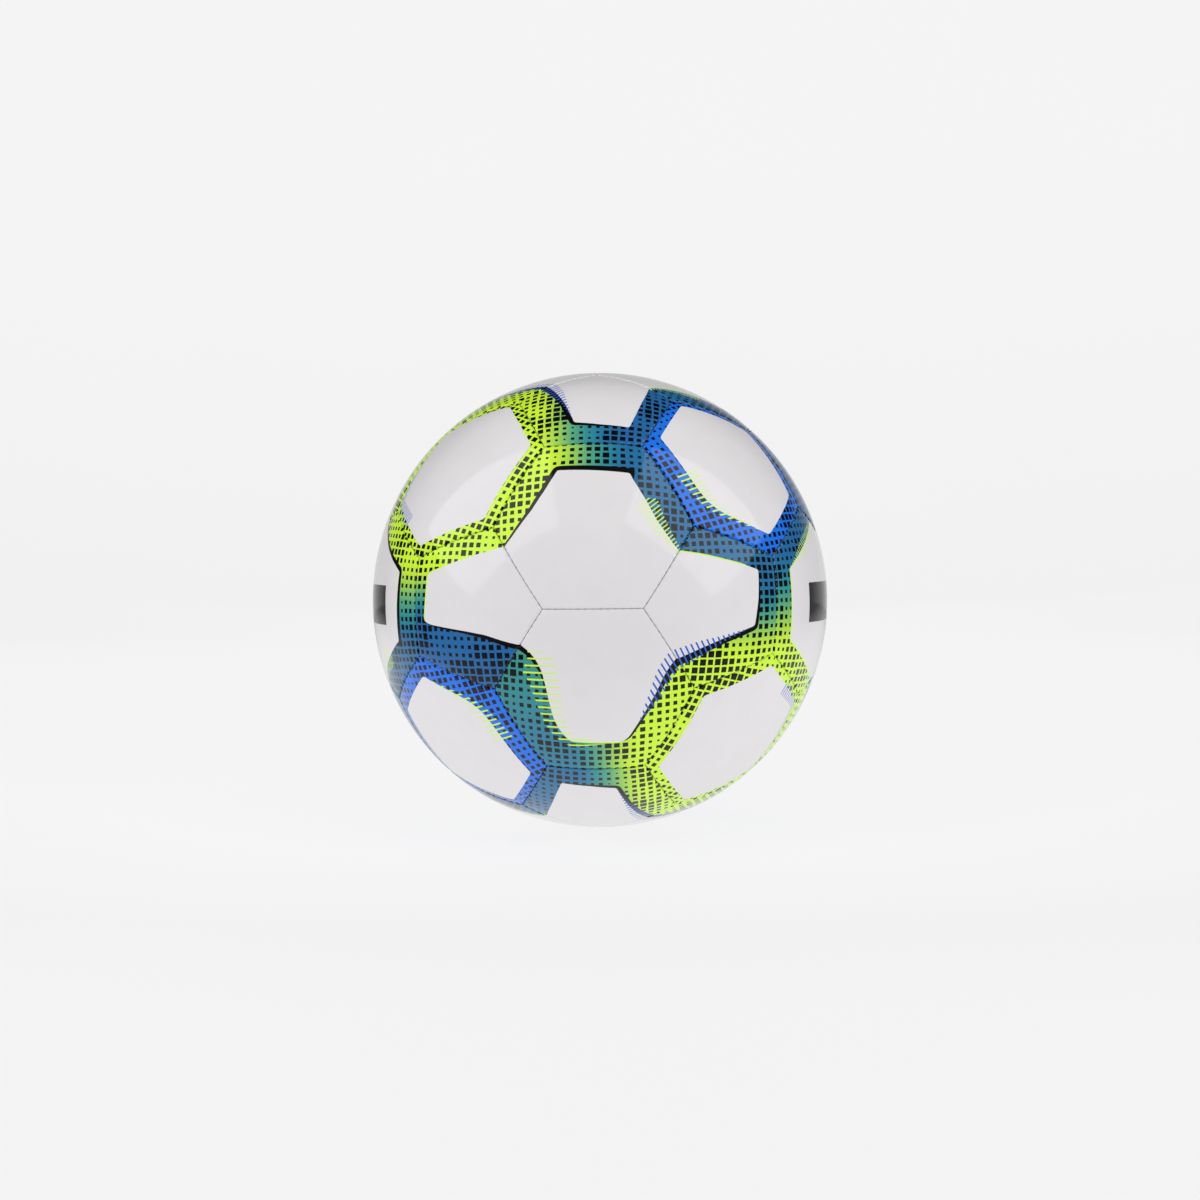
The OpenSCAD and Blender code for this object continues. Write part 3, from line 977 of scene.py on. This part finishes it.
# Painted light on the floor and wall: how brightly the floor glows, how much less it glows near the ball
# where the lamps light it, and how brightly the wall glows in front of the ball and behind it
FLOOR_GLOW = 0.83
LIT_FLOOR = 0.042
WALL_FRONT = 0.36
WALL_BACK = 0.86
CARD_GLOW = 0.75
REAR_GLOW = 0.8
SOFTBOX_DISTANCE = 1.5
SOFTBOX_SIZE = (1.6, 1.4)
SOFTBOX_WATTS = 9.6
BOUNCE_SIZE = 1.0
BOUNCE_WATTS = 0.5
WORLD_LIGHT = 0.66
# The camera that fits the photo: its lens, its distance, and how the ball is turned towards it
LENS = 64.18
CAMERA_DISTANCE = 9.4658 * RADIUS * MM
TILT = (2.0607, -0.4210, -1.6671)


def backdrop():
    """A wide pale floor that curves up into a wall all round, and glows less where it is well lit."""
    profile = [(0.0, 0.0), (0.4, 0.0), (1.0, 0.0), (FLOOR_FLAT, 0.0)]
    for a in np.radians(np.arange(1, 13) * 7.5):
        profile.append((FLOOR_FLAT + WALL_BEND * math.sin(a), WALL_BEND * (1 - math.cos(a))))
    profile += [(FLOOR_FLAT + WALL_BEND, 1.6), (FLOOR_FLAT + WALL_BEND, WALL_TOP)]
    turn = np.arange(96) * 2 * math.pi / 96
    loft = Loft()
    for r, h in profile[::-1]:
        if r > 0:
            ring = np.stack([r * np.cos(turn), r * np.sin(turn), np.full(96, h)], axis=1)
            loft.add(ring / MM + [0, 0, -RADIUS])
    loft.add([[0, 0, -RADIUS]])
    obj = mesh_object("studio_floor", loft.vertices(), loft.faces)
    s = Shader("studio_paper")
    _, depth, height = s.parts(s.place())
    # The glow is painted light: it makes the floor and the wall pale, dims the wall in front of the ball,
    # brightens it behind the ball, and lowers the floor's glow a little where the lamps light it
    lit_floor = s.remap(depth, -0.4, 0.25, 0.0, LIT_FLOOR)
    lit_floor = s.math("MULTIPLY", lit_floor, s.remap(depth, 0.5, 2.4, 1.0, 0.0))
    wall = s.remap(height, -0.1, 0.7, 0.0, 1.0)
    far = s.remap(depth, -1.5, 2.0, WALL_FRONT, WALL_BACK)
    glow = s.math("ADD", s.math("MULTIPLY", wall, s.math("SUBTRACT", far, FLOOR_GLOW)), FLOOR_GLOW)
    glow = s.math("SUBTRACT", glow, lit_floor)
    tint = s.mix(s.noise(s.place(), 3.0), rgb("#48484a"), rgb("#4b4b4c"))
    obj.data.materials.append(
        s.finish(base_color=tint, roughness=0.9, emission_color=rgb("#fdfdfe"), emission_strength=glow)
    )
    obj.visible_glossy = False


def card(name, corners):
    """A glowing sheet that nothing but the ball's gloss sees. Gives its object and its shader."""
    obj = mesh_object(name, np.array(corners, float) / MM, [(0, 1, 2, 3)])
    obj.visible_camera = False
    obj.visible_diffuse = False
    obj.visible_shadow = False
    return obj, Shader(name)


def reflections():
    """What the ball mirrors: the floor below and behind it, and a bright wall far behind it."""
    low = (0.2 - RADIUS) * MM
    white, black = rgb("#ffffff"), rgb("#000000")
    obj, s = card("floor_card", [(-2, -2, low), (2, -2, low), (2, 2, low), (-2, 2, low)])
    across, depth, _ = s.parts(s.place())
    reach = s.node("ShaderNodeVectorMath", "Value", {0: s.vector(across, depth, 0.0)}, operation="LENGTH")
    glow = s.remap(s.math("SUBTRACT", reach, depth), 0.22, 0.55, CARD_GLOW, 0.0)
    glow = s.math("MULTIPLY", glow, s.remap(reach, 0.3, 1.8, 1.0, 0.45))
    obj.data.materials.append(s.finish(base_color=black, emission_color=white, emission_strength=glow))
    obj, s = card("rear_card", [(-2.4, 2, low), (2.4, 2, low), (2.4, 2, 1.5), (-2.4, 2, 1.5)])
    across, _, height = s.parts(s.place())
    glow = s.remap(s.math("ABSOLUTE", across), 0.3, 2.4, REAR_GLOW, 0.0)
    glow = s.math("MULTIPLY", glow, s.remap(height, 0.1, 1.4, 1.0, 0.0))
    obj.data.materials.append(s.finish(base_color=black, emission_color=white, emission_strength=glow))


def area_light(name, shape, size, watts):
    light = bpy.data.lights.new(name, "AREA")
    light.shape = shape
    light.size, light.size_y = size
    light.energy = watts
    obj = bpy.data.objects.new(name, light)
    obj.visible_camera = False
    bpy.context.scene.collection.objects.link(obj)
    return obj


def softbox(name, toward, edge):
    """An area light that faces the ball, with its longer side along edge."""
    obj = area_light(name, "RECTANGLE", SOFTBOX_SIZE, SOFTBOX_WATTS)
    z = Vector(toward).normalized()
    x = Vector(edge)
    x = (x - x.dot(z) * z).normalized()
    turn = Matrix((x, z.cross(x), z)).transposed().to_4x4()
    obj.matrix_world = Matrix.Translation(z * SOFTBOX_DISTANCE) @ turn


def bounce():
    """The light that the pale floor sends back up to the ball."""
    obj = area_light("floor_bounce", "DISK", (BOUNCE_SIZE, BOUNCE_SIZE), BOUNCE_WATTS)
    obj.location = (0, 0, (0.3 - RADIUS) * MM)
    obj.rotation_euler = (math.pi, 0, 0)
    obj.visible_glossy = False


backdrop()
reflections()
softbox("softbox_left", (-0.72, -0.33, 0.6), (-0.74, 0.32, -0.66))
softbox("softbox_right", (0.7, -0.39, 0.6), (0.77, 0.23, -0.71))

bounce()

world = bpy.data.worlds.new("studio")
bpy.context.scene.world = world
world.use_nodes = True
world.node_tree.nodes["Background"].inputs["Color"].default_value = (1, 1, 1, 1)
world.node_tree.nodes["Background"].inputs["Strength"].default_value = WORLD_LIGHT
world.cycles_visibility.glossy = False

camera_data = bpy.data.cameras.new("camera")
camera_data.lens = LENS
camera_data.sensor_width = 36.0
camera_data.clip_end = 20.0
camera = bpy.data.objects.new("camera", camera_data)
bpy.context.scene.collection.objects.link(camera)
bpy.context.scene.camera = camera
tilt = Vector(TILT)
turned = Matrix.Rotation(math.radians(tilt.length), 4, tilt.normalized()).inverted()
level = Matrix.Translation((0, -CAMERA_DISTANCE, 0)) @ Matrix.Rotation(math.radians(90), 4, "X")
camera.matrix_world = turned @ level

bpy.context.scene.view_settings.view_transform = "Standard"
